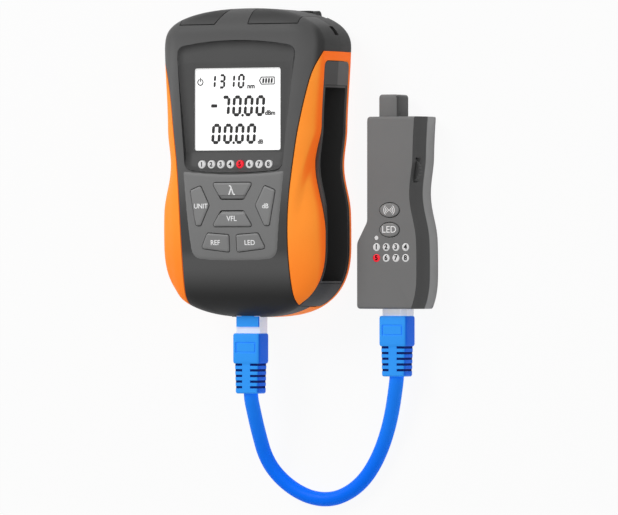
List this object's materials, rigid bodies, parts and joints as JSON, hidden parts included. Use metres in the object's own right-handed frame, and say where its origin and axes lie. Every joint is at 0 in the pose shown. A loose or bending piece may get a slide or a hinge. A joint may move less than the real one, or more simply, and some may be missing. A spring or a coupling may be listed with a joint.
{
  "type": "optical power meter",
  "caption": "Handheld optical power meter with LCD, waisted grips and covered fibre ports, joined by a short patch lead to its docking cable-test remote.",
  "frame": {"origin": "centre of the meter's flat back, on which it rests", "axes": "+Z out of the display, +Y towards the fibre ports at the top end, +X towards the remote"},
  "size_m": [0.1192, 0.2124, 0.039],
  "materials": {
    "case_grey": "fine satin texture, dark warm grey",
    "grip_orange": "soft matte overmould, bright orange",
    "liner_grey": "satin grey",
    "tray_black": "matte black",
    "bezel_grey": "satin dark grey",
    "window_clear": "clear acrylic",
    "lcd_glass": "liquid-crystal glass",
    "white_diffuser": "white",
    "board_green": "solder mask",
    "rubber_dark": "silicone",
    "key_grey": "satin mid grey",
    "lamp_grey": "translucent",
    "lamp_red": "lit red",
    "steel": "nickel plated",
    "brass": "turned",
    "jack_black": "moulded",
    "cell_sleeve": "printed steel sleeve",
    "remote_grey": "satin mid grey",
    "lead_blue": "smooth flexible PVC",
    "plug_clear": "clear polycarbonate"
  },
  "bodies": {
    "root": {"front_case": "case_grey", "rear_case": "case_grey", "grip_left": "grip_orange", "grip_right": "grip_orange", "dock_frame": "liner_grey", "dock_tray": "tray_black", "display_bezel": "bezel_grey", "display_window": "window_clear", "lcd_panel": "lcd_glass", "backlight": "white_diffuser", "main_board": "board_green", "keypad_mat": "rubber_dark", "line_lamps": "lamp_grey", "line_lamp_lit": "lamp_red", "port_bulkhead": "tray_black", "power_port": "steel", "light_detector": "brass", "vfl_port": "steel", "vfl_laser": "brass", "cover_pins": "steel", "torch_lens": "plug_clear", "torch_led": "white_diffuser", "meter_jack": "jack_black", "usb_socket": "steel", "battery_tray": "tray_black", "battery_cells": "cell_sleeve", "battery_contacts": "steel", "case_screws": "steel", "remote_front": "remote_grey", "remote_rear": "remote_grey", "probe_tip": "remote_grey", "remote_lamps": "lamp_grey", "remote_lamp_lit": "lamp_red", "status_led": "white_diffuser", "wheel_axle": "steel", "remote_board": "board_green", "remote_jack": "jack_black", "remote_cell": "cell_sleeve", "remote_speaker": "tray_black", "remote_screws": "steel", "patch_cable": "lead_blue", "meter_plug": "plug_clear", "remote_plug": "plug_clear", "meter_boot": "lead_blue", "remote_boot": "lead_blue"},
    "key_wavelength": {"key_wavelength": "key_grey"},
    "key_unit": {"key_unit": "key_grey"},
    "key_db": {"key_db": "key_grey"},
    "key_vfl": {"key_vfl": "key_grey"},
    "key_ref": {"key_ref": "key_grey"},
    "key_led": {"key_led": "key_grey"},
    "tone_button": {"tone_button": "key_grey"},
    "lamp_button": {"lamp_button": "key_grey"},
    "volume_wheel": {"volume_wheel": "tray_black"},
    "port_cover_left": {"port_cover_left": "case_grey"},
    "port_cover_right": {"port_cover_right": "case_grey"},
    "battery_door": {"battery_door": "case_grey"}
  },
  "joints": [
    {"name": "key_wavelength_press", "type": "slide", "parent": "root", "child": "key_wavelength", "axis": [0, 0, -1], "range_m": [0, 0.0008], "stiffness_N_per_m": 300, "springref_m": -0.001},
    {"name": "key_unit_press", "type": "slide", "parent": "root", "child": "key_unit", "axis": [0, 0, -1], "range_m": [0, 0.0008], "stiffness_N_per_m": 300, "springref_m": -0.001},
    {"name": "key_db_press", "type": "slide", "parent": "root", "child": "key_db", "axis": [0, 0, -1], "range_m": [0, 0.0008], "stiffness_N_per_m": 300, "springref_m": -0.001},
    {"name": "key_vfl_press", "type": "slide", "parent": "root", "child": "key_vfl", "axis": [0, 0, -1], "range_m": [0, 0.0008], "stiffness_N_per_m": 300, "springref_m": -0.001},
    {"name": "key_ref_press", "type": "slide", "parent": "root", "child": "key_ref", "axis": [0, 0, -1], "range_m": [0, 0.0008], "stiffness_N_per_m": 300, "springref_m": -0.001},
    {"name": "key_led_press", "type": "slide", "parent": "root", "child": "key_led", "axis": [0, 0, -1], "range_m": [0, 0.0008], "stiffness_N_per_m": 300, "springref_m": -0.001},
    {"name": "tone_button_press", "type": "slide", "parent": "root", "child": "tone_button", "axis": [0, 0, -1], "range_m": [0, 0.0006], "stiffness_N_per_m": 300, "springref_m": -0.001},
    {"name": "lamp_button_press", "type": "slide", "parent": "root", "child": "lamp_button", "axis": [0, 0, -1], "range_m": [0, 0.0006], "stiffness_N_per_m": 300, "springref_m": -0.001},
    {"name": "volume_wheel_turn", "type": "hinge", "parent": "root", "child": "volume_wheel", "pos_m": [0.07148, -0.0034, 0.01365], "axis": [0, 0, 1], "range_deg": [-140, 140]},
    {"name": "port_cover_left_hinge", "type": "hinge", "parent": "root", "child": "port_cover_left", "pos_m": [0, 0.0624, 0.0042], "axis": [-1, 0, 0], "range_deg": [0, 85]},
    {"name": "port_cover_right_hinge", "type": "hinge", "parent": "root", "child": "port_cover_right", "pos_m": [0, 0.0624, 0.0042], "axis": [-1, 0, 0], "range_deg": [0, 85]},
    {"name": "battery_door_tilt", "type": "hinge", "parent": "root", "child": "battery_door", "pos_m": [-0.015, 0.00622, 0.00168], "axis": [1, 0, 0], "range_deg": [0, 55]}
  ]
}
